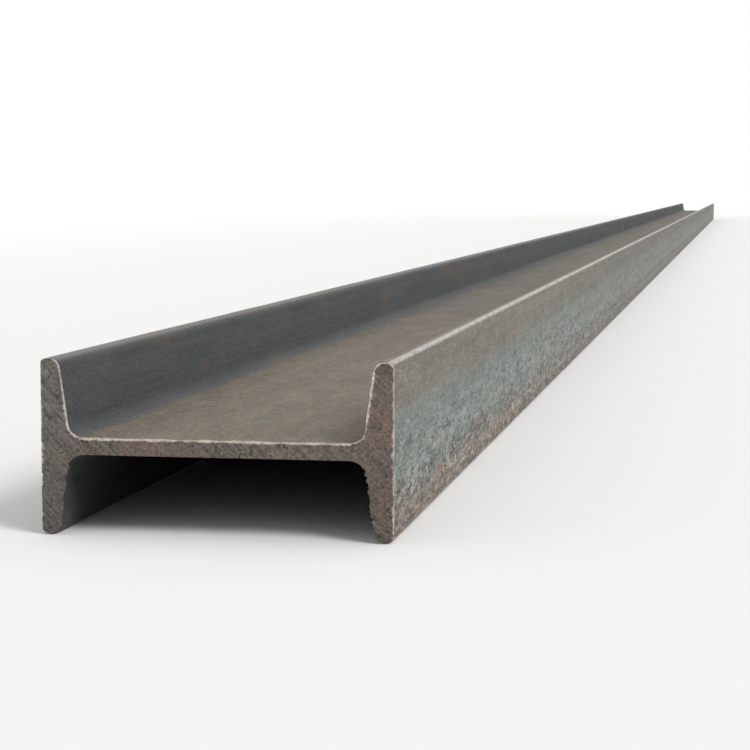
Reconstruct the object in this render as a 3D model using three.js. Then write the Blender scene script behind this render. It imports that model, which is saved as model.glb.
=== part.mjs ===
// A length of hot-rolled steel I-beam with tapered flanges, lying with its web level.
// Millimetres, +Z up. The length runs along Y, the section's height along X, and the flanges stand
// along Z. The origin is on the ground under the middle of the beam.
import * as THREE from 'three';

// Driving dimensions.
const sectionHeight = 100; // over both flanges
const flangeWidth = 50;
const webThickness = 4.5;
const flangeThickness = 6.8; // a quarter of the flange width in from its edge
const flangeTaper = 0.14; // slope of the flanges' inner faces
const rootRadius = 4.5; // between web and flange
const toeRadius = 2.7; // inner edge of each flange tip
const cornerRadius = 1.6; // outer edge of each flange tip, as rolled
const beamLength = 6000;
const arcDetail = 4; // each rounded stretch has twice this many facets

// A quarter of the section: x from mid-height out to the flange's outer face, y from mid-web out to
// the flange's edge. The inner face is the straight line innerFaceX.
const outerX = sectionHeight / 2;
const edgeY = flangeWidth / 2;
const webY = webThickness / 2;
const taperAngle = Math.atan(flangeTaper);
const innerFaceX = (y) => outerX - flangeThickness - flangeTaper * (flangeWidth / 4 - y);

// Each arc's centre is one radius away from both lines that it joins.
const slant = Math.hypot(1, flangeTaper);
const rootY = webY + rootRadius;
const rootX = innerFaceX(rootY) - rootRadius * slant;
const toeY = edgeY - toeRadius;
const toeX = innerFaceX(toeY) + toeRadius * slant;
const cornerX = outerX - cornerRadius;
const cornerY = edgeY - cornerRadius;

// From the web, up the flange's inner face, over its tip and down to its outer face.
const quarter = new THREE.Path();
quarter.absarc(rootX, rootY, rootRadius, -Math.PI / 2, -taperAngle, false);
quarter.absarc(toeX, toeY, toeRadius, Math.PI - taperAngle, Math.PI / 2, true);
quarter.absarc(cornerX, cornerY, cornerRadius, Math.PI / 2, 0, true);
const quarterPoints = quarter.getPoints(arcDetail);

// The four quarters in turn, every second one walked backwards, close the whole section.
const mirrors = [[1, 1], [1, -1], [-1, -1], [-1, 1]];
const sectionPoints = mirrors.flatMap(([mirrorX, mirrorY], index) => {
  const points = quarterPoints.map((p) => new THREE.Vector2(mirrorX * p.x, mirrorY * p.y));
  return index % 2 ? points.reverse() : points;
});
const section = new THREE.Shape(sectionPoints);

// Mill scale with light rust.
const rolledSteel = new THREE.MeshStandardMaterial({ color: 0x77706a, roughness: 0.6, metalness: 0.7 });

const beam = new THREE.Mesh(
  new THREE.ExtrudeGeometry(section, { depth: beamLength, bevelEnabled: false }),
  rolledSteel,
);
beam.name = 'i_beam';
beam.rotation.x = Math.PI / 2; // section height stays along X, flanges stand up, length along Y
beam.position.set(0, beamLength / 2, edgeY);

const group = new THREE.Group();
group.add(beam);
export default group;
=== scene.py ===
import math
from types import SimpleNamespace

import bpy
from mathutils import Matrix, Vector


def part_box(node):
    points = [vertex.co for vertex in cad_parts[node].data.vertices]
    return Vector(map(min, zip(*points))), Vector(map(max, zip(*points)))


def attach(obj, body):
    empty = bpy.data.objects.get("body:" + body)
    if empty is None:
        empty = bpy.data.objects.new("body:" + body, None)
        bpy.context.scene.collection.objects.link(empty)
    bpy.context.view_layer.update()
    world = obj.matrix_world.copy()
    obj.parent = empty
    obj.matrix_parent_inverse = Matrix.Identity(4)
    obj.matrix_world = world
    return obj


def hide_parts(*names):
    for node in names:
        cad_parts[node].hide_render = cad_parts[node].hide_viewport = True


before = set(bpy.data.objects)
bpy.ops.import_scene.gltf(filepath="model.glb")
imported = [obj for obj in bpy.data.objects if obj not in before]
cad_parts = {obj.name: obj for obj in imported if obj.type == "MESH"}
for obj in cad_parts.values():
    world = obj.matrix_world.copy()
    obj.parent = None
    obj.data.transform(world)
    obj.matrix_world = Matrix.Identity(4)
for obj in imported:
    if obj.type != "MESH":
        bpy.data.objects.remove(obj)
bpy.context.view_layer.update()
beamLow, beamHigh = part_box("i_beam")
print("frame loaded", list(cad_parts))


def pick(sockets, name):
    # a socket by number, identifier or name; where several share a name, the one in use
    if isinstance(name, int):
        return sockets[name]
    matches = [s for s in sockets if name in (s.identifier, s.name)]
    return next((s for s in matches if s.enabled), matches[0])


class Wire:
    # an output socket; sums written with it add Math nodes to its tree

    def __init__(self, sheet, socket):
        self.sheet = sheet
        self.socket = socket

    def math(self, operation, *others):
        values = dict(enumerate((self, *others)))
        return self.sheet.node("ShaderNodeMath", {"operation": operation}, values)[0]

    def turned(self, operation, first):
        # for 1 - mask and the like, where the number comes first
        return self.sheet.node("ShaderNodeMath", {"operation": operation}, {0: first, 1: self})[0]

    def __add__(self, other):
        return self.math("ADD", other)

    def __sub__(self, other):
        return self.math("SUBTRACT", other)

    def __mul__(self, other):
        return self.math("MULTIPLY", other)

    def __truediv__(self, other):
        return self.math("DIVIDE", other)

    def __radd__(self, other):
        return self.turned("ADD", other)

    def __rsub__(self, other):
        return self.turned("SUBTRACT", other)

    def __rmul__(self, other):
        return self.turned("MULTIPLY", other)

    def __neg__(self):
        return self.math("MULTIPLY", -1)

    def __abs__(self):
        return self.math("ABSOLUTE")

    def __pow__(self, other):
        return self.math("POWER", other)

    def least(self, other):
        return self.math("MINIMUM", other)

    def most(self, other):
        return self.math("MAXIMUM", other)

    def sign(self):
        return self.math("SIGN")

    def swing(self, amount):
        # how far a noise is from its middle, times an amount
        return (self - 0.5) * amount

    def step(self, low, high):
        # 0 below low, 1 above high and a smooth rise between them
        settings = {"interpolation_type": "SMOOTHSTEP"}
        values = {"Value": self, "From Min": low, "From Max": high, "To Min": 0, "To Max": 1}
        return self.sheet.node("ShaderNodeMapRange", settings, values)["Result"]


class Fitting:
    # a node on a sheet: its outputs are read, and its inputs fed, by name or number

    def __init__(self, sheet, made):
        self.sheet = sheet
        self.made = made

    def __getitem__(self, name):
        return Wire(self.sheet, pick(self.made.outputs, name))

    def feed(self, values):
        for name, value in values.items():
            self.sheet.feed(pick(self.made.inputs, name), value)


class Sheet:
    # a node tree being filled

    def __init__(self, tree):
        self.tree = tree

    def node(self, kind, settings=None, values=None):
        # the settings go first, because they decide which sockets are in use
        fitting = Fitting(self, self.tree.nodes.new(kind))
        for name, value in (settings or {}).items():
            setattr(fitting.made, name, value)
        fitting.feed(values or {})
        return fitting

    def feed(self, socket, value):
        if isinstance(value, list):
            for one in value:
                self.feed(socket, one)
        elif isinstance(value, Wire):
            self.tree.links.new(value.socket, socket)
        elif socket.type == "RGBA" and len(value) == 3:
            socket.default_value = (*value, 1)
        else:
            socket.default_value = value

    def split(self, vector):
        parts = self.node("ShaderNodeSeparateXYZ", {}, {"Vector": vector})
        return parts["X"], parts["Y"], parts["Z"]

    def joined(self, x, y, z):
        return self.node("ShaderNodeCombineXYZ", {}, {"X": x, "Y": y, "Z": z})["Vector"]

    def vector(self, operation, *values):
        return self.node("ShaderNodeVectorMath", {"operation": operation}, dict(enumerate(values)))

    def scaled(self, vector, amount):
        settings = {"operation": "SCALE"}
        return self.node("ShaderNodeVectorMath", settings, {0: vector, "Scale": amount})[0]

    def noise(self, place, lump, shift, detail, rough=0.5):
        # lump: metres across one lump along x, y and z; the shift keeps two noises from being alike
        finer = tuple(1 / size for size in lump)
        moved = (shift, 1.7 * shift, -0.6 * shift)
        grid = self.vector("MULTIPLY_ADD", place, finer, moved)[0]
        values = {"Vector": grid, "Scale": 1, "Detail": detail, "Roughness": rough}
        return self.node("ShaderNodeTexNoise", {"noise_dimensions": "3D"}, values)[0]

    def noises(self, place, patterns):
        # one noise for each pattern, kept under the pattern's name
        return SimpleNamespace(**{name: self.noise(place, *how) for name, how in patterns.items()})

    def blend(self, factor, first, second):
        values = {"Factor_Float": factor, "A_Color": first, "B_Color": second}
        return self.node("ShaderNodeMix", {"data_type": "RGBA"}, values)["Result_Color"]


class Bench(Sheet):
    # a Geometry Nodes tree being filled, with the steps that its meshes go through

    def position(self):
        return self.node("GeometryNodeInputPosition")["Position"]

    def stored(self, mesh, name, value, kind="FLOAT", domain="POINT"):
        options = {"data_type": kind, "domain": domain}
        parts = {"Geometry": mesh, "Name": name, "Value": value}
        return self.node("GeometryNodeStoreNamedAttribute", options, parts)["Geometry"]

    def named(self, name, kind="FLOAT"):
        options = {"data_type": kind}
        return self.node("GeometryNodeInputNamedAttribute", options, {"Name": name})["Attribute"]

    def sampled(self, mesh, value, index, kind="FLOAT"):
        options = {"data_type": kind, "domain": "POINT"}
        parts = {"Geometry": mesh, "Value": value, "Index": index}
        return self.node("GeometryNodeSampleIndex", options, parts)["Value"]

    def evaluatedOn(self, domain, value):
        # an index means something else on each domain, so it is read on its own one first
        options = {"domain": domain, "data_type": "FLOAT"}
        return self.node("GeometryNodeFieldOnDomain", options, {"Value": value})["Value"]

    def isMore(self, value, limit):
        options = {"data_type": "FLOAT", "operation": "GREATER_THAN"}
        return self.node("FunctionNodeCompare", options, {"A": value, "B": limit})["Result"]

    def shifted(self, mesh, **how):
        return self.node("GeometryNodeSetPosition", {}, {"Geometry": mesh, **how})["Geometry"]

    def flipped(self, mesh):
        return self.node("GeometryNodeFlipFaces", {}, {"Mesh": mesh})["Mesh"]

    def together(self, *meshes):
        return self.node("GeometryNodeJoinGeometry", {}, {"Geometry": list(meshes)})["Geometry"]

    def welded(self, mesh, gap=0.000004):
        # joins vertices that are no further apart than the gap
        parts = {"Geometry": mesh, "Distance": gap}
        return self.node("GeometryNodeMergeByDistance", {}, parts)["Geometry"]

    def shaded(self, mesh, domain, how):
        parts = {"Geometry": mesh, **how}
        return self.node("GeometryNodeSetShadeSmooth", {"domain": domain}, parts)["Geometry"]

    def painted(self, mesh, material, **where):
        parts = {"Geometry": mesh, "Material": material, **where}
        return self.node("GeometryNodeSetMaterial", {}, parts)["Geometry"]


def newMaterial(name):
    material = bpy.data.materials.new(name)
    material.use_nodes = True
    sheet = Sheet(material.node_tree)
    shader = Fitting(sheet, material.node_tree.nodes["Principled BSDF"])
    return material, sheet, shader


def grained(sheet, colour, amount, darkest=0.22):
    # darkens and lightens a colour by an amount round 1, which is never less than darkest
    factor = amount.most(darkest)
    return sheet.vector("MULTIPLY", colour, sheet.joined(factor, factor, factor))[0]


# each pattern: metres across a lump along x, y and z, a shift of its own, detail and roughness
burrPatterns = {
    "tone": ((0.0013, 0.0013, 0.0013), 12.7, 3, 0.7),
    "worn": ((0.0080, 0.0080, 0.0080), 14.2, 2, 0.5),
}


def burrAndHighlightLine(sheet, place):
    # pale bare metal along a sawn rim, with a painted highlight where its edges face up, thinner and
    # thicker, and torn in places
    n = sheet.noises(place, burrPatterns)
    edge = sheet.node("ShaderNodeAttribute", {"attribute_name": "burr"})["Fac"]
    share = (edge + n.tone.swing(0.7) * edge.step(0, 0.1) + n.worn.swing(0.3)).step(0.14, 0.52)
    return share * (0.62 + 0.38 * n.tone.step(0.3, 0.6))


scaleFinish = {
    "colours": {
        "tan": (0.168, 0.152, 0.127),  # outer faces, along the top
        "green": (0.176, 0.202, 0.182),  # in the middle
        "brown": (0.180, 0.142, 0.113),  # low down
        "greyTan": (0.138, 0.133, 0.118),  # the same faces further from the ends
        "grey": (0.160, 0.161, 0.146),
        "blueBlack": (0.058, 0.062, 0.066),  # inner faces: dark scale, darkened further as painted shade, as is the next
        "innerGrey": (0.080, 0.085, 0.087),
        "dust": (0.222, 0.185, 0.142),
        "greyDust": (0.168, 0.156, 0.135),
        "rust": (0.250, 0.112, 0.052),
        "flake": (0.500, 0.450, 0.400),
        # rubbed corners; at the top corners partly a painted highlight
        "worn": (0.520, 0.485, 0.435),
        # the burr's colour: bare metal, with a painted highlight where its edges face up
        "bright": (0.600, 0.535, 0.460),
        "dark": (0.060, 0.060, 0.056),
        "scab": (0.060, 0.070, 0.064),
        "pale": (0.300, 0.296, 0.276),
    },
    "patterns": {  # set out as burrPatterns is
        "broad": ((0.03, 0.30, 0.014), 3.1, 3),
        "patch": ((0.02, 0.07, 0.012), 7.7, 4, 0.6),
        "mottle": ((0.0100, 0.0300, 0.0055), 5.8, 4, 0.65),
        "rolled": ((0.0028, 0.0125, 0.0026), 1.3, 3, 0.65),
        "lying": ((0.0021, 0.0029, 0.0021), 6.9, 4, 0.75),
        "fine": ((0.0009, 0.0024, 0.0008), 5.2, 2, 0.7),
        "streak": ((0.003, 0.9, 0.0022), 9.4, 3, 0.6),
        "band": ((0.02, 0.35, 0.0060), 13.6, 3, 0.55),
        "stroke": ((0.02, 0.0050, 0.016), 2.6, 3, 0.55),
        "drip": ((0.05, 0.0060, 0.040), 4.9, 2, 0.5),
        "hole": ((0.0026, 0.0050, 0.0022), 2.2, 3, 0.65),
        "scab": ((0.02, 0.0120, 0.0075), 10.3, 2, 0.5),
        "chip": ((0.0020, 0.0056, 0.0017), 8.8, 3, 0.68),
    },
    "zones": {  # metres; each fades in between its two distances
        "outer": (beamHigh.x - 0.0018, beamHigh.x - 0.0006),  # from the middle of the web
        "corner": (beamHigh.x - 0.0026, beamHigh.x - 0.0014),
        "beyondWeb": (0.0365, 0.0415),
        "above": (beamHigh.z / 2 - 0.001, beamHigh.z / 2 + 0.001),  # from the floor
        "away": (0.25, 1.10),  # from the nearer end
        "drier": (0.10, 0.45),
        "sheltered": (0.05, 0.90),
        "seamDown": (0.0, 0.14),  # where the flaking line has come down to its own height
    },
    "lines": [  # share of the height, reach, how much lighter near the ends, and further along
        (0.36, 0.11, 0.10, 0.18),
        (0.23, 0.08, -0.10, -0.10),
        (0.14, 0.06, 0.28, 0.0),
        (0.08, 0.08, 0.0, -0.14),
    ],
    "seam": (0.145, 0.075),  # the flaking line: share of the height, and reach
    "seamClimb": 0.12,  # how much higher it is at a sawn end
    "shine": 0.3,
    "bumpStrength": 0.7,
    "bumpDepth": 0.0006,
}


def lineAt(height, centre, reach):
    # 1 at one height of the flange, falling smoothly to 0 a reach above and below it
    return 1 - abs(height - centre).step(0, reach)


def scaleMasks(sheet, s):
    # the noises on the rolled faces, and how much of each finish every point has
    place = sheet.node("ShaderNodeTexCoord")["Object"]
    x, y, z = sheet.split(place)
    aside = abs(x)
    fromEnd = beamHigh.y - abs(y)
    zones = s["zones"]
    m = sheet.noises(place, s["patterns"])
    m.place = place
    m.high = z / beamHigh.z
    m.outer = aside.step(*zones["outer"])
    m.corner = aside.step(*zones["corner"])
    m.above = z.step(*zones["above"])
    m.away = fromEnd.step(*zones["away"])
    m.drier = fromEnd.step(*zones["drier"])
    m.sheltered = fromEnd.step(*zones["sheltered"])
    m.climb = 1 - fromEnd.step(*zones["seamDown"])
    m.speck = m.rolled * m.outer + m.lying * (1 - m.outer)

    wobble = m.high + m.patch.swing(0.42) + m.speck.swing(0.30)
    steadier = m.high + m.patch.swing(0.28) + m.speck.swing(0.16)
    m.middle = wobble.step(0.16, 0.30) * (1 - steadier.step(0.62, 0.78))
    m.low = (1 - (wobble + m.drier * 0.11).step(0.05, 0.28)) * 0.85
    m.flecked = 1 - (m.high + m.patch.swing(0.5) + m.broad.swing(0.4)).step(0.30, 0.72)
    web = 1 - aside.step(*zones["beyondWeb"])
    settled = 0.70 + 0.30 * (m.mottle * 0.35 + m.speck * 0.65).step(0.40, 0.58)
    m.dusty = web * m.above * settled
    m.level = m.high + m.band.swing(0.10)
    return m


def outsideColour(sheet, c, m):
    # tan along the top, grey-green scale in the middle, browner low down, all greyer along the length
    colour = sheet.blend(m.middle, c["tan"], c["green"])
    weathered = sheet.blend(m.middle.most(1 - m.high.step(0.2, 0.4)), c["greyTan"], c["grey"])
    colour = sheet.blend((0.35 + 0.50 * m.broad.step(0.36, 0.56)) * m.away, colour, weathered)
    return sheet.blend(m.low, colour, c["brown"])


def insideColourWithShade(sheet, c, m):
    # dark blue-grey scale inside, darkened further as painted shade and most below the web; dust lying
    # on the web
    colour = sheet.blend(m.patch.step(0.35, 0.7), c["blueBlack"], c["innerGrey"])
    # painted shade: the inner faces under the web are left darker than those above it
    colour = sheet.blend(m.above * 0.35, colour, c["innerGrey"])
    greyer = m.sheltered * (0.55 + 0.45 * m.patch.step(0.40, 0.60))
    return sheet.blend(m.dusty, colour, sheet.blend(greyer, c["dust"], c["greyDust"]))


def scaleGrain(m):
    # how far the grain lightens or darkens a point, strongest low down on the outer faces
    contrast = m.outer * (0.8 + 2.3 * m.flecked) + (1 - m.outer) * (0.8 + 0.3 * m.dusty)
    finer = m.fine.swing(0.8 + (0.8 + 1.6 * m.flecked) * m.outer)
    return m.speck.swing(contrast) + finer + m.mottle.swing(0.45 + 0.35 * m.outer)


def rollingMarks(m, lines):
    # streaks and lines along the length, and faint drips down the outer faces
    lengthwise = m.streak.swing(0.45 - 0.25 * m.dusty) + m.band.swing(0.40)
    dripping = (m.drip.step(0.58, 0.70) - 0.15) * m.outer * -0.16
    drawn = sum(lineAt(m.level, centre, reach) * (near + (along - near) * m.away)
                for centre, reach, near, along in lines)
    return lengthwise + dripping + drawn * m.outer


def scaledSteel(s):
    # rolled faces: mill scale that has weathered outside and is darkened inside with painted shade,
    # dust on the web, light rust low down
    material, sheet, shader = newMaterial("scaledSteel")
    c = s["colours"]
    m = scaleMasks(sheet, s)
    colour = sheet.blend(m.outer, insideColourWithShade(sheet, c, m), outsideColour(sheet, c, m))
    grain = scaleGrain(m)
    colour = grained(sheet, colour, grain + rollingMarks(m, s["lines"]) + 1)
    colour = sheet.blend(grain.step(0.05, 0.60) * m.outer * 0.5, colour, c["pale"])

    # pits, dark strokes across the face and flat scabs
    pitted = (1 - m.hole.step(0.34, 0.41)) * (0.25 + 0.64 * m.flecked) * (0.45 + 0.55 * m.outer)
    colour = sheet.blend(pitted, colour, c["dark"])
    stain = m.stroke.step(0.67, 0.73) * (0.25 + 0.45 * m.outer)
    colour = sheet.blend(stain, colour, c["dark"])
    colour = sheet.blend(m.scab.step(0.715, 0.745) * m.outer * 0.8, colour, c["scab"])

    # rust, least of it high up and under the dust, and pale flakes along a line that climbs to the cut
    bare = 0.80 - 0.30 * m.high - 0.45 * m.high.step(0.10, 0.60) * m.outer
    rusty = m.patch.step(0.54, 0.70) * m.speck.step(0.44, 0.62) * bare * (1 - m.dusty * 0.6)
    spots = m.speck.step(0.62, 0.70) * m.flecked * m.low * 0.7
    colour = sheet.blend(rusty.most(spots), colour, c["rust"])
    seamLevel = m.level + m.patch.swing(0.08) - m.climb * s["seamClimb"]
    seam = lineAt(seamLevel, *s["seam"]) * (1 - m.drier * 0.8)
    flake = m.chip.step(0.54, 0.64) * m.outer * (m.flecked * 0.30 + seam * 1.3).least(0.95)
    colour = sheet.blend(flake, colour, c["flake"])

    # rubbed corners, the top ones made lighter as a painted highlight, and the burr at the sawn ends
    # with its own painted highlight
    tip = abs(m.high - 0.5).step(0.472, 0.490)
    # painted highlight: the outer corners above the web get more of the pale colour than those below
    cornerWearAndHighlight = tip * m.corner * (0.60 + 0.40 * m.above)
    wornEdgeAndHighlight = (tip * 0.25).most(cornerWearAndHighlight * (0.50 + 0.50 * m.speck.step(0.36, 0.56)))
    colour = sheet.blend(wornEdgeAndHighlight, colour, c["worn"])
    # the burr's colour: bare metal, with a painted highlight where its edges face up
    burr = burrAndHighlightLine(sheet, m.place)
    colour = sheet.blend(burr, colour, c["bright"])

    relief = m.speck * (0.5 + 0.9 * m.flecked) + m.fine * 0.3 + m.streak * 0.2 + m.mottle * 0.8
    bump = sheet.node("ShaderNodeBump", {}, {
        "Strength": s["bumpStrength"], "Distance": s["bumpDepth"], "Height": relief - pitted * 0.5})
    shader.feed({
        "Base Color": colour,
        "Roughness": 0.66 + m.speck.swing(0.3) + rusty * 0.2 + m.dusty * 0.15 - wornEdgeAndHighlight * 0.15,
        "Metallic": 0.22 + wornEdgeAndHighlight * 0.35 - m.dusty * 0.2 + burr * 0.3,
        "Specular IOR Level": s["shine"],
        "Normal": bump["Normal"],
    })
    return material


sawnFinish = {
    "colours": {
        "brown": (0.168, 0.128, 0.110),
        "grey": (0.142, 0.140, 0.126),
        "pit": (0.036, 0.029, 0.025),
        "speck": (0.300, 0.262, 0.226),
        # the burr's colour: bare metal, with a painted highlight where its edges face up
        "bright": (0.640, 0.570, 0.490),
        "rust": (0.205, 0.104, 0.070),
    },
    "patterns": {  # set out as burrPatterns is
        "wide": ((0.026, 0.026, 0.026), 4.4, 3, 0.55),
        "blotch": ((0.0042, 0.0042, 0.0042), 6.3, 3, 0.6),
        "grain": ((0.00085, 0.00085, 0.00085), 8.1, 3, 0.8),
        "pit": ((0.0015, 0.0015, 0.0015), 3.6, 3, 0.7),
        "glint": ((0.0012, 0.0012, 0.0012), 9.1, 2, 0.7),
    },
    "sawMarks": ((0.0011, 0.030, 0.5), 0.3, 2, 0.65),  # across the marks, along them, end to end
    "sawCentre": (0.36, 0.0, 0.40),  # the blade's axis; its marks are arcs round it
    "sawWander": 0.0012,  # how far a mark strays from its arc
    "greySide": (beamLow.x, beamLow.x + 0.014),  # the flange that is greyer than the rest
    "shine": 0.3,
    "bumpStrength": 0.8,
    "bumpDepth": 0.0005,
}


def sawnSteel(s):
    # the two cut ends: saw marks on brown, finely rusted steel, with a light burr at the rim that
    # carries a painted highlight on its upward-facing edges
    c = s["colours"]
    material, sheet, shader = newMaterial("sawnSteel")
    place = sheet.node("ShaderNodeTexCoord")["Object"]
    x, y, z = sheet.split(place)
    n = sheet.noises(place, s["patterns"])
    fromSaw = sheet.vector("DISTANCE", sheet.joined(x, 0, z), s["sawCentre"])["Value"]
    arcs = sheet.joined(fromSaw + n.blotch.swing(s["sawWander"]), x - z, y)
    ridge = sheet.noise(arcs, *s["sawMarks"])
    sawn = n.wide.step(0.38, 0.62) * 0.85 + 0.15

    greyer = (n.wide.step(0.42, 0.60) * 0.5 + (1 - x.step(*s["greySide"])) * 0.55).least(1)
    colour = sheet.blend(greyer, c["brown"], c["grey"])
    rusty = n.blotch.step(0.56, 0.70) * 0.45 * (1 - greyer * 0.6)
    colour = sheet.blend(rusty, colour, c["rust"])
    marks = ridge.step(0.34, 0.66).swing(0.48) * sawn
    lighter = z.step(0, 0.030) * 0.18 + 0.76  # a little darker near the floor
    colour = grained(sheet, colour, n.grain.swing(2.2) + marks + n.blotch.swing(0.6) + lighter)
    pits = 1 - n.pit.step(0.32, 0.38)
    colour = sheet.blend(pits * 0.75, colour, c["pit"])
    colour = sheet.blend(n.glint.step(0.62, 0.68) * 0.45, colour, c["speck"])
    # the burr, with a painted highlight on its upward-facing edges
    burr = burrAndHighlightLine(sheet, place)
    colour = sheet.blend(burr, colour, c["bright"])

    relief = ridge * (0.35 + 0.75 * sawn) + n.grain * 0.45 - pits * 0.6
    bump = sheet.node("ShaderNodeBump", {}, {
        "Strength": s["bumpStrength"], "Distance": s["bumpDepth"], "Height": relief})
    shader.feed({
        "Base Color": colour,
        "Roughness": 0.62 - burr * 0.22 + n.grain.swing(0.2),
        "Metallic": 0.3 + burr * 0.4,
        "Specular IOR Level": s["shine"],
        "Normal": bump["Normal"],
    })
    return material


section = {  # its lengths are in metres
    "webThickness": 0.0045,
    "flangeThickness": 0.0068,  # midway between the web's middle and the flange's edge
    "flangeTaper": 0.14,
    "rootRadius": 0.0045,
    "toeRadius": 0.0027,
    "cornerRadius": 0.0016,
    "webCells": 20,  # from mid-height to where the root starts
    "rootCells": 8,
    "faceCells": 30,
    "toeCells": 6,
    "cornerCells": 5,
    "throughCells": 8,  # through a flange's thickness
    "halfWebCells": 3,
    "outerShare": 1.5,  # how much more of a picture the outer faces get than the others
}


def arc(centreX, centreY, radius, start, end, cells):
    angles = [start + (end - start) * k / cells for k in range(cells + 1)]
    return [(centreX + radius * math.cos(a), centreY + radius * math.sin(a)) for a in angles]


def between(first, last, cells):
    # the points inside a straight line, without its two ends
    steps = [k / cells for k in range(1, cells)]
    return [tuple(a + (b - a) * t for a, b in zip(first, last)) for t in steps]


def quarterFlange(s, outerX, edgeY):
    # matching points on the inner and outer side of a quarter of a flange, from the web to the tip
    webY = s["webThickness"] / 2
    slope = s["flangeTaper"]
    lean = math.atan(slope)
    slant = math.hypot(1, slope)

    def innerX(up):
        return outerX - s["flangeThickness"] - slope * (edgeY / 2 - up)

    rootY = webY + s["rootRadius"]
    rootX = innerX(rootY) - s["rootRadius"] * slant
    toeY = edgeY - s["toeRadius"]
    toeX = innerX(toeY) + s["toeRadius"] * slant
    root = arc(rootX, rootY, s["rootRadius"], -math.pi / 2, -lean, s["rootCells"])
    toe = arc(toeX, toeY, s["toeRadius"], math.pi - lean, math.pi / 2, s["toeCells"])
    inner = root + between(root[-1], toe[0], s["faceCells"]) + toe
    corner = arc(outerX - s["cornerRadius"], edgeY - s["cornerRadius"], s["cornerRadius"],
                 0, math.pi / 2, s["cornerCells"])
    start = (outerX, webY)
    straight = len(inner) - 1 - s["cornerCells"]
    outer = [start] + between(start, corner[0], straight) + corner
    return inner, outer


def sectionBlocks(s, outerX, edgeY):
    # rows of points across the two flanges and the web, and whether a block is a mirrored one
    inner, outer = quarterFlange(s, outerX, edgeY)
    halfCells = s["halfWebCells"]
    levels = [s["webThickness"] / 2 * k / halfCells for k in range(-halfCells, halfCells + 1)]
    webEnd = inner[0][0]

    ribs = [((a[0], -a[1]), (b[0], -b[1])) for a, b in zip(inner[::-1], outer[::-1])]
    ribs += [((webEnd, level), (outerX, level)) for level in levels[1:-1]]
    ribs += list(zip(inner, outer))
    rightFlange = [[a] + between(a, b, s["throughCells"]) + [b] for a, b in ribs]
    leftFlange = [[(-x, y) for x, y in row] for row in rightFlange]
    webSteps = range(-s["webCells"], s["webCells"] + 1)
    web = [[(webEnd * k / s["webCells"], level) for k in webSteps] for level in levels]
    return (rightFlange, False), (leftFlange, True), (web, False)


def weldedQuads(blocks):
    # the blocks' points, each place once, and quads between them that all face one way
    spots, faces = {}, []

    def spot(point):
        key = (round(point[0], 8), round(point[1], 8))
        return spots.setdefault(key, len(spots))

    for block, mirrored in blocks:
        rows = [[spot(p) for p in row] for row in block]
        for below, over in zip(rows, rows[1:]):
            for k in range(len(below) - 1):
                quad = (below[k], below[k + 1], over[k + 1], over[k])
                faces.append(quad[::-1] if mirrored else quad)
    return list(spots), faces


def rimOf(faces):
    # the numbers of the points round the outside, in order
    sides = {(a, b) for quad in faces for a, b in zip(quad, quad[1:] + quad[:1])}
    following = {a: b for a, b in sides if (b, a) not in sides}
    rim = [min(following)]
    while following[rim[-1]] != rim[0]:
        rim.append(following[rim[-1]])
    return rim


def sectionMesh(s):
    # the section's face, all in quads, in the XZ plane; its outline's vertices come first, in order
    outerX = (beamHigh.x - beamLow.x) / 2
    edgeY = (beamHigh.z - beamLow.z) / 2
    points, faces = weldedQuads(sectionBlocks(s, outerX, edgeY))
    outline = rimOf(faces)
    order = outline + sorted(set(range(len(points))) - set(outline))
    place = {old: new for new, old in enumerate(order)}
    mesh = bpy.data.meshes.new("sectionFace")
    mesh.from_pydata([(points[k][0], 0, edgeY + points[k][1]) for k in order], [],
                     [tuple(place[k] for k in quad) for quad in faces])

    # how far round the outline each of its vertices is, from 0 to 1
    def share(a, b):
        onOuterFace = math.isclose(abs(a[0] + b[0]), 2 * outerX, rel_tol=0.0001)
        return math.dist(a, b) * (s["outerShare"] if onOuterFace else 1)

    shares = [share(points[a], points[b]) for a, b in zip(outline, outline[1:] + outline[:1])]
    walked = [sum(shares[:k]) / sum(shares) for k in range(len(outline))]
    walked += [0] * (len(order) - len(outline))
    mesh.attributes.new("walked", "FLOAT", "POINT").data.foreach_set("value", walked)
    print("section:", len(outline), "outline points,", len(faces), "cells")
    return mesh, len(outline)


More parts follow.
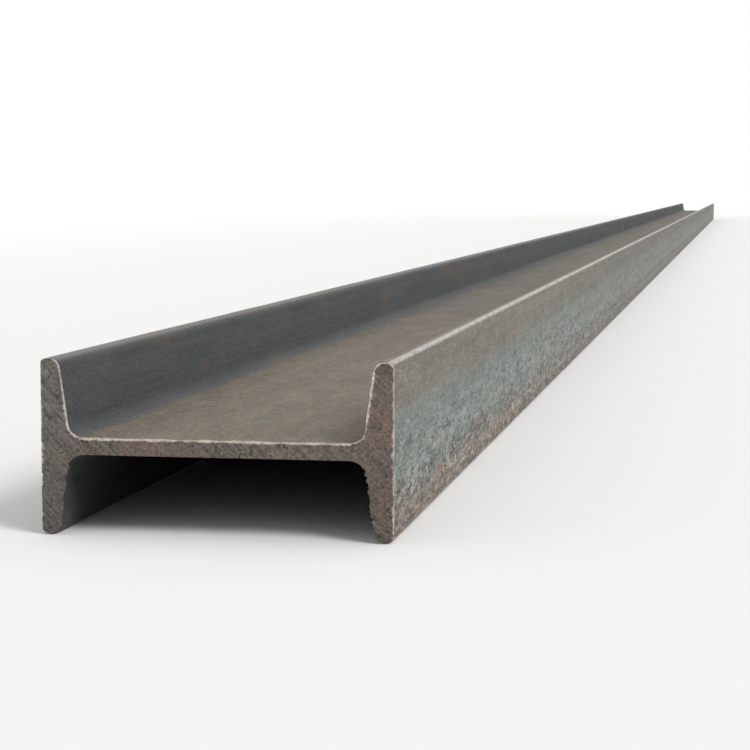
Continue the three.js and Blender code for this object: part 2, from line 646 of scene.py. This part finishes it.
rolling = {
    "sizes": {  # the tree's inputs; lengths are in metres
        "Length": beamHigh.y - beamLow.y,
        "Height": beamHigh.x - beamLow.x,  # the section's own, which lies on its side
        "Width": beamHigh.z - beamLow.z,
        "Stations": 172,  # rows of vertices along the length
        "End Density": 0.016,  # the stations' spacing at the ends, as a share of even spacing
        "Hollow": 0.00012,  # depth of the hollows in the rolled faces
        "Scabs": 0.00022,  # and of the scabs on the outer ones
        "Hollow Start": 0.004,  # how far from an end the hollows and scabs have their full depth
        "Tip Wave": 0.00035,  # how far the flanges' tips wander along the length
        "Ragged": 0.0009,  # depth of the tears at the ends
        "Tip Tear": 0.004,  # how far in from an end the flanges' tips are torn
        "Face Tear": 0.003,  # and their inner faces
        "Cut Depth": 0.0003,  # how far a cut face is set back, besides its lean and its ridges
        "Cut Lean": 0.0005,
        "Cut Reach": 0.02,  # how far in from an end the sides give way to the cut
        "Saw Ridges": 0.00013,
        "Saw Pitch": 0.0030,  # from one ridge to the next
        "Saw Run": 0.04,  # how far a ridge runs before it changes
        "Saw Height": sawnFinish["sawCentre"][0],  # the blade's axis, along the section's height
        "Saw Width": sawnFinish["sawCentre"][2],
        "Chips": 0.0012,  # depth of the chips round a cut's rim
        "Chip Reach": 0.003,  # how far in from an end the sides follow them
        "Burr": 0.00060,  # how high it stands; its beads make that more or less
        "Burr Reach": 0.0007,  # how far in from an end it starts
        "Seed": 4.0,
        "Crisp Angle": math.radians(48),
        "Map Strips": 3,  # the length lies in so many strips beside each other on the picture map
        "Map Ends": 0.2,  # and the two ends below them, in this share of its height
    },
    "lengthPatterns": {  # set out as burrPatterns is
        "hollow": ((0.02, 0.16, 0.012), 1.0, 3),
        "scab": ((0.01, 0.016, 0.006), 2.0, 3, 0.6),
        "wander": ((0.04, 0.11, 0.6), 5.0, 3, 0.6),
    },
    "endPatterns": {  # 0.6 m is far more than the section, so a pattern hardly changes that way
        "tear": ((0.0022, 0.6, 0.6), 6.0, 2, 0.6),
        "jag": ((0.6, 0.6, 0.0013), 7.0, 2, 0.6),
        "chip": ((0.0025, 0.6, 0.0017), 9.0, 2, 0.6),
        "patchy": ((0.006, 0.6, 0.004), 11.0, 2, 0.6),
        "bead": ((0.0012, 0.6, 0.0011), 12.0, 1, 0.5),
    },
    "ridgePattern": ((1, 1, 1), 8.0, 2),  # in ridges and runs, not in metres
    "mapFill": {  # what is used of the picture map's parts; the rest keeps neighbours apart
        "endWide": 0.48,  # an end's share of the map's width
        "endHigh": 0.97,  # its share of the height that the ends have
        "endBelow": 0.01,  # and the gap below it
        "stripWide": 0.99,  # the outline's share of a strip's width
        "stripGap": 0.02,  # before and after a strip's length, as a share of it
    },
    "endShift": 0.37,  # moves the noises one way at one end and the other way at the other
    "ridgeShift": 3.7,
    "zones": {  # metres; each fades in between its two distances
        "outerFace": (-0.0004, -0.0001),  # from the flanges' outer faces
        "inFlange": (-0.0110, -0.0085),
        "outwardFlange": (-0.0075, -0.0010),
        "upperHalf": (-0.004, 0.002),  # from the web's middle level
        "overWeb": (-0.0005, 0.0012),
        "offRim": (0.0003, 0.0010),  # from the nearest rim of a cut
        "unscraped": (0.0004, 0.0026),  # from the nearer end
    },
}


def sawnFaces(g, given):
    # the section's face at both ends, side by side on the picture map, and their rims
    x, _, z = g.split(g.position())
    half = given["Length"] * 0.5
    fill = rolling["mapFill"]
    mapU = x / given["Height"] * fill["endWide"]
    mapV = (z / given["Width"] * fill["endHigh"] + fill["endBelow"]) * given["Map Ends"]

    def placed(y, middleU):
        parts = {"Geometry": given["Section"], "Translation": g.joined(0, y, 0)}
        face = g.node("GeometryNodeTransform", {}, parts)["Geometry"]
        return g.stored(face, "OFBake", g.joined(middleU, mapV, 0), "FLOAT2", "CORNER")

    near = placed(-half, 0.25 + mapU)  # in the map's left half
    far = g.flipped(placed(half, 0.75 - mapU))  # the other way round, in its right half
    caps = g.stored(g.together(near, far), "sawn", 1.0, domain="FACE")
    neighbours = g.node("GeometryNodeInputMeshEdgeNeighbors")["Face Count"]
    onRim = g.node("FunctionNodeCompare", {"data_type": "INT", "operation": "EQUAL"},
                   {"A_INT": neighbours, "B_INT": 1})["Result"]
    rims = g.node("GeometryNodeSeparateGeometry", {"domain": "EDGE"},
                  {"Geometry": caps, "Selection": onRim})["Selection"]
    return caps, rims


def rolledFaces(g, given):
    # a grid wrapped round the outline, its rows closer together near the ends
    outline, stations = given["Outline Points"], given["Stations"]
    grid = g.node("GeometryNodeMeshGrid", {}, {"Vertices X": outline + 1, "Vertices Y": stations})
    index = g.node("GeometryNodeInputIndex")["Index"]
    column = (index / stations).math("FLOOR")
    row = index - column * stations
    corner = column.math("MODULO", outline)
    cornerPlace = g.sampled(given["Section"], g.position(), corner, "FLOAT_VECTOR")
    x, _, z = g.split(cornerPlace)
    along = row / (stations - 1) * 2 - 1
    inward = 1 - abs(along)
    density = given["End Density"]
    half = given["Length"] * 0.5
    fromEnd = half * (density * inward + (1 - density) * inward ** 3)
    y = along.sign() * (half - fromEnd)

    # its place on the picture map: some strips of its length beside each other, over the two ends
    walked = g.sampled(given["Section"], g.named("walked"), corner)
    walked = g.evaluatedOn("POINT", walked + (column / outline).math("FLOOR"))
    strips, ends = given["Map Strips"], given["Map Ends"]
    wide, gap = rolling["mapFill"]["stripWide"], rolling["mapFill"]["stripGap"]
    stripsAlong = g.evaluatedOn("POINT", (y / given["Length"] + 0.5) * strips)
    strip = g.evaluatedOn("FACE", stripsAlong).math("FLOOR")
    mapU = (strip - walked * wide + (1 + wide) / 2) / strips
    mapV = (stripsAlong - strip + gap) / (1 + 2 * gap) * (1 - ends) + ends
    side = g.stored(grid["Mesh"], "OFBake", g.joined(mapU, mapV, 0), "FLOAT2", "CORNER")
    side = g.shifted(side, Position=g.joined(x, y, z))
    side = g.flipped(g.welded(side))
    return g.stored(side, "outwards", g.node("GeometryNodeInputNormal")[0], "FLOAT_VECTOR")


def startingPlaces(g, given, body, rims):
    # keeps where each vertex is before anything moves, and works out the masks from that
    here = g.position()
    rimGap = g.node("GeometryNodeProximity", {"target_element": "EDGES"},
                    {"Target": rims, "Source Position": here})["Distance"]
    body = g.stored(body, "rimGap", rimGap)
    body = g.stored(body, "toEnd", given["Length"] * 0.5 - abs(g.split(here)[1]))
    body = g.stored(body, "start", here, "FLOAT_VECTOR")

    start = g.named("start", "FLOAT_VECTOR")
    zones = rolling["zones"]
    m = SimpleNamespace()
    m.x, m.y, m.z = g.split(start)
    m.end = m.y.sign()
    m.toEnd = g.named("toEnd")
    m.outwards = g.vector("NORMALIZE", g.named("outwards", "FLOAT_VECTOR"))[0]
    m.offMiddle = m.z - given["Width"] * 0.5
    m.rim = 1 - g.named("rimGap").step(*zones["offRim"])
    m.below = 1 - m.offMiddle.step(*zones["upperHalf"])
    m.upper = m.offMiddle.step(*zones["overWeb"])

    def asideBy(zone):
        halfHeight = given["Height"] * 0.5
        return abs(m.x).step(halfHeight + zone[0], halfHeight + zone[1])

    m.outerFace = asideBy(zones["outerFace"])
    m.inFlange = asideBy(zones["inFlange"])
    m.outwardFlange = asideBy(zones["outwardFlange"])

    # noises that change along the length, and others that are the same right through an end
    whole = g.vector("ADD", start, g.joined(0, given["Seed"], 0))[0]
    m.length = g.noises(whole, rolling["lengthPatterns"])
    whichEnd = g.joined(m.x, m.end * rolling["endShift"] + given["Seed"], m.z)
    m.ends = g.noises(whichEnd, rolling["endPatterns"])
    m.chipped = m.ends.chip.step(0.56, 0.72)
    m.patchy = m.ends.patchy.step(0.35, 0.6)
    return body, m


def hollowed(g, given, m, body):
    # rolled faces are a little hollow, with shallow scabs outside
    scab = m.length.scab.step(0.52, 0.66) * given["Scabs"] * m.outerFace
    depth = (m.length.hollow * given["Hollow"] + scab) * m.toEnd.step(0, given["Hollow Start"])
    return g.shifted(body, Offset=g.scaled(m.outwards, -depth))


def tornFlanges(g, given, m, body):
    # flange tips wander slowly along the length; the saw tore the tips and the inner faces
    tipReach = (abs(m.offMiddle) / (given["Width"] * 0.5)).step(0.55, 1)
    tear = m.ends.tear * given["Ragged"] * (1 - m.toEnd.step(0, given["Tip Tear"]))
    tipShift = -(m.offMiddle.sign() * tipReach * (m.length.wander * given["Tip Wave"] + tear))
    teeth = (m.ends.jag.step(0.30, 0.68) - 0.4) * given["Ragged"] * (0.15 + 0.85 * m.below)
    reach = m.x.sign() * (1 - m.outwardFlange) * m.inFlange
    faceShift = reach * teeth * (1 - m.toEnd.step(0, given["Face Tear"]))
    return g.shifted(body, Offset=g.joined(faceShift, 0, tipShift))


def cutDepth(g, given, m):
    # how far in the cut is: set back, leaning, ridged by the saw, chipped at the rim
    lean = (m.z / given["Width"] * 0.6 + m.x / given["Height"] * 0.5 + 0.5) * given["Cut Lean"]
    fromSaw = ((m.x - given["Saw Height"]) ** 2 + (m.z - given["Saw Width"]) ** 2) ** 0.5
    run = (m.x - m.z) / given["Saw Run"]
    arcs = g.joined(fromSaw / given["Saw Pitch"], run, m.end * rolling["ridgeShift"])
    ridge = g.noise(arcs, *rolling["ridgePattern"]) * given["Saw Ridges"]
    chips = m.chipped * m.rim * given["Chips"] * (0.25 + 0.75 * m.below * m.inFlange)
    cut = (given["Cut Depth"] + lean + ridge) * (1 - m.toEnd / given["Cut Reach"]).most(0)
    return cut + chips * (1 - m.toEnd / given["Chip Reach"]).most(0)


def sawnEnds(g, given, m, body):
    # the cut, and the thin burr that stands up from the web and the flanges' inner edges
    outX, _, outZ = g.split(m.outwards)
    outerSide = outX * m.x.sign()
    faceUp = outZ.step(0.2, 0.8) * m.upper
    faceIn = (-outerSide).step(0.05, 0.5)
    burr = faceUp.most(faceIn * (0.25 + 0.40 * m.upper))
    burr = burr * (0.45 + 0.55 * m.patchy) * (1 - m.chipped * m.below)
    burr = burr * (1 - m.toEnd.step(0, given["Burr Reach"])) * given["Burr"]
    lift = burr * (0.35 + 0.9 * m.ends.bead)
    endwise = m.end * (lift * 0.6 - cutDepth(g, given, m))
    offset = g.vector("ADD", g.scaled(m.outwards, lift), g.joined(0, endwise, 0))[0]
    body = g.shifted(body, Offset=offset)

    # how light the burr's metal is there, with a painted highlight on edges that face up, or inward
    # above the web; and a scraped band on the outer faces by the cut
    edgeBurrAndHighlight = (faceIn * (0.12 + 0.58 * m.upper)).most(faceUp)
    scraped = outerSide.step(0.5, 0.9) * (1 - m.toEnd.step(*rolling["zones"]["unscraped"])) * 0.42
    bright = (edgeBurrAndHighlight * m.rim).most(scraped) * (0.55 + 0.45 * m.patchy)
    return g.stored(body, "burr", bright)


def keptInside(g, given, body):
    # nothing leaves the stock's own box
    x, y, z = g.split(g.position())
    halfHeight = given["Height"] * 0.5
    half = given["Length"] * 0.5
    inX = x.most(-halfHeight).least(halfHeight)
    inY = y.most(-half).least(half)
    inZ = z.most(0).least(given["Width"])
    return g.shifted(body, Position=g.joined(inX, inY, inZ))


def rollingTree(settings):
    # lays the section's outline along the length, closes it with the sawn faces and roughens it
    tree = bpy.data.node_groups.new("rolledLength", "GeometryNodeTree")
    panel = tree.interface
    panel.new_socket(name="Section", in_out="INPUT", socket_type="NodeSocketGeometry")
    for name, value in settings.items():
        kind = "NodeSocketInt" if isinstance(value, int) else "NodeSocketFloat"
        panel.new_socket(name=name, in_out="INPUT", socket_type=kind)
    panel.new_socket(name="Sides", in_out="INPUT", socket_type="NodeSocketMaterial")
    panel.new_socket(name="Ends", in_out="INPUT", socket_type="NodeSocketMaterial")
    panel.new_socket(name="Beam", in_out="OUTPUT", socket_type="NodeSocketGeometry")

    g = Bench(tree)
    given = g.node("NodeGroupInput")
    caps, rims = sawnFaces(g, given)
    body = g.welded(g.together(rolledFaces(g, given), caps))
    body, m = startingPlaces(g, given, body, rims)
    body = hollowed(g, given, m, body)
    body = tornFlanges(g, given, m, body)
    body = sawnEnds(g, given, m, body)
    body = keptInside(g, given, body)

    body = g.shaded(body, "FACE", {"Shade Smooth": True})
    angle = g.node("GeometryNodeInputMeshEdgeAngle")["Unsigned Angle"]
    crisp = g.isMore(angle, given["Crisp Angle"])
    body = g.shaded(body, "EDGE", {"Selection": crisp, "Shade Smooth": False})
    body = g.node("GeometryNodeRealizeInstances", {}, {"Geometry": body})["Geometry"]
    body = g.painted(body, given["Sides"])
    body = g.painted(body, given["Ends"], Selection=g.isMore(g.named("sawn"), 0.5))
    g.node("NodeGroupOutput", {}, {"Beam": body})
    return tree


def rolledBeam():
    mesh, outlinePoints = sectionMesh(section)
    blank = bpy.data.objects.new("sectionBlank", mesh)
    bpy.context.scene.collection.objects.link(blank)
    settings = {**rolling["sizes"], "Outline Points": outlinePoints}
    tree = rollingTree(settings)
    modifier = blank.modifiers.new("rolledLength", "NODES")
    modifier.node_group = tree
    values = {**settings, "Sides": scaledSteel(scaleFinish), "Ends": sawnSteel(sawnFinish)}
    for item in tree.interface.items_tree:
        if item.in_out == "INPUT" and item.name in values:
            modifier[item.identifier] = values[item.name]
    bpy.context.view_layer.update()
    ready = blank.evaluated_get(bpy.context.evaluated_depsgraph_get())
    finished = bpy.data.meshes.new_from_object(ready)
    # Set Material leaves an empty slot in front of its own
    while None in finished.materials[:]:
        finished.materials.pop(index=finished.materials[:].index(None))
    # what stays is the burr's brightness with its painted highlight, the picture map and the mesh's
    # own
    for name in ("walked", "rimGap", "toEnd", "start", "outwards", "sawn"):
        finished.attributes.remove(finished.attributes[name])
    beam = bpy.data.objects.new("rolled_beam", finished)
    bpy.context.scene.collection.objects.link(beam)
    bpy.data.objects.remove(blank)
    print("beam:", len(finished.polygons), "faces, materials", [m.name for m in finished.materials])
    return beam


beam = rolledBeam()
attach(beam, "root")
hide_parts("i_beam")


studio = {
    "floorReach": 40.0,  # metres from the middle
    "floorColour": (0.90, 0.90, 0.89),  # as it lights the beam
    "floorSeen": (0.97, 0.97, 0.96),  # as the eye sees it
    "floorRough": 0.9,
    "floorShine": 0.1,
    "fadeFrom": 0.15,  # metres from the beam where the floor starts to turn white, and is white
    "fadeTo": 1.6,
    "skyLight": 0.62,  # the world's strength as a light; the eye sees it at 1
    "keyFrom": (0.62, -0.40, 0.68),
    "keyStrength": 1.5,
    "keySpread": 24.0,  # degrees across, for soft shadows
}


def whiteSeen(sheet):
    # 1 for what the eye sees, directly or in a reflection, and 0 for the light that falls on things
    ray = sheet.node("ShaderNodeLightPath")
    return ray["Is Camera Ray"].most(ray["Is Glossy Ray"]).most(ray["Is Transmission Ray"])


def paleFloor(s):
    # a pale floor that turns white away from the beam
    material, sheet, shader = newMaterial("paleFloor")
    seen = whiteSeen(sheet)
    shader.feed({
        "Base Color": sheet.blend(seen, s["floorColour"], s["floorSeen"]),
        "Roughness": s["floorRough"],
        "Specular IOR Level": s["floorShine"],
    })
    x, y, _ = sheet.split(sheet.node("ShaderNodeTexCoord")["Object"])
    beside = (abs(x) - beamHigh.x).most(0)
    beyond = (abs(y) - beamHigh.y).most(0)
    away = (beside * beside + beyond * beyond) ** 0.5
    glow = sheet.node("ShaderNodeEmission", {}, {"Color": (1, 1, 1), "Strength": 1})[0]
    fade = away.step(s["fadeFrom"], s["fadeTo"]) * seen
    mixed = sheet.node("ShaderNodeMixShader", {}, {0: fade, 1: shader[0], 2: glow})[0]
    sheet.feed(material.node_tree.nodes["Material Output"].inputs["Surface"], mixed)
    return material


def buildStudio(s):
    reach = s["floorReach"]
    mesh = bpy.data.meshes.new("floor")
    mesh.from_pydata([(-reach, -reach, 0), (reach, -reach, 0), (reach, reach, 0), (-reach, reach, 0)],
                     [], [(0, 1, 2, 3)])
    mesh.materials.append(paleFloor(s))
    floor = bpy.data.objects.new("floor", mesh)
    bpy.context.scene.collection.objects.link(floor)

    world = bpy.data.worlds.new("softRoom")
    bpy.context.scene.world = world
    world.use_nodes = True
    sky = Sheet(world.node_tree)
    background = Fitting(sky, world.node_tree.nodes["Background"])
    strength = s["skyLight"] + whiteSeen(sky) * (1 - s["skyLight"])
    background.feed({"Color": (1, 1, 1), "Strength": strength})

    key = bpy.data.lights.new("key", "SUN")
    key.energy = s["keyStrength"]
    key.angle = math.radians(s["keySpread"])
    lamp = bpy.data.objects.new("key", key)
    lamp.rotation_euler = Vector(s["keyFrom"]).to_track_quat("Z", "Y").to_euler()
    bpy.context.scene.collection.objects.link(lamp)


view = {
    "from": (0.1427, -3.5504, 0.0969),
    "at": (0.045, -3.0, 0.0465),
    "lens": 99.5,  # millimetres, as the sensor is
    "sensor": 36,
    "nearest": 0.01,  # metres
    "furthest": 100,
}


def buildCamera(s):
    camera = bpy.data.cameras.new("camera")
    camera.lens = s["lens"]
    camera.sensor_width = s["sensor"]
    camera.clip_start = s["nearest"]
    camera.clip_end = s["furthest"]
    holder = bpy.data.objects.new("camera", camera)
    holder.location = s["from"]
    gaze = Vector(s["at"]) - Vector(s["from"])
    holder.rotation_euler = gaze.to_track_quat("-Z", "Y").to_euler()
    bpy.context.scene.collection.objects.link(holder)
    bpy.context.scene.camera = holder


buildStudio(studio)
buildCamera(view)
bpy.context.scene.view_settings.view_transform = "Standard"
print("studio ready")
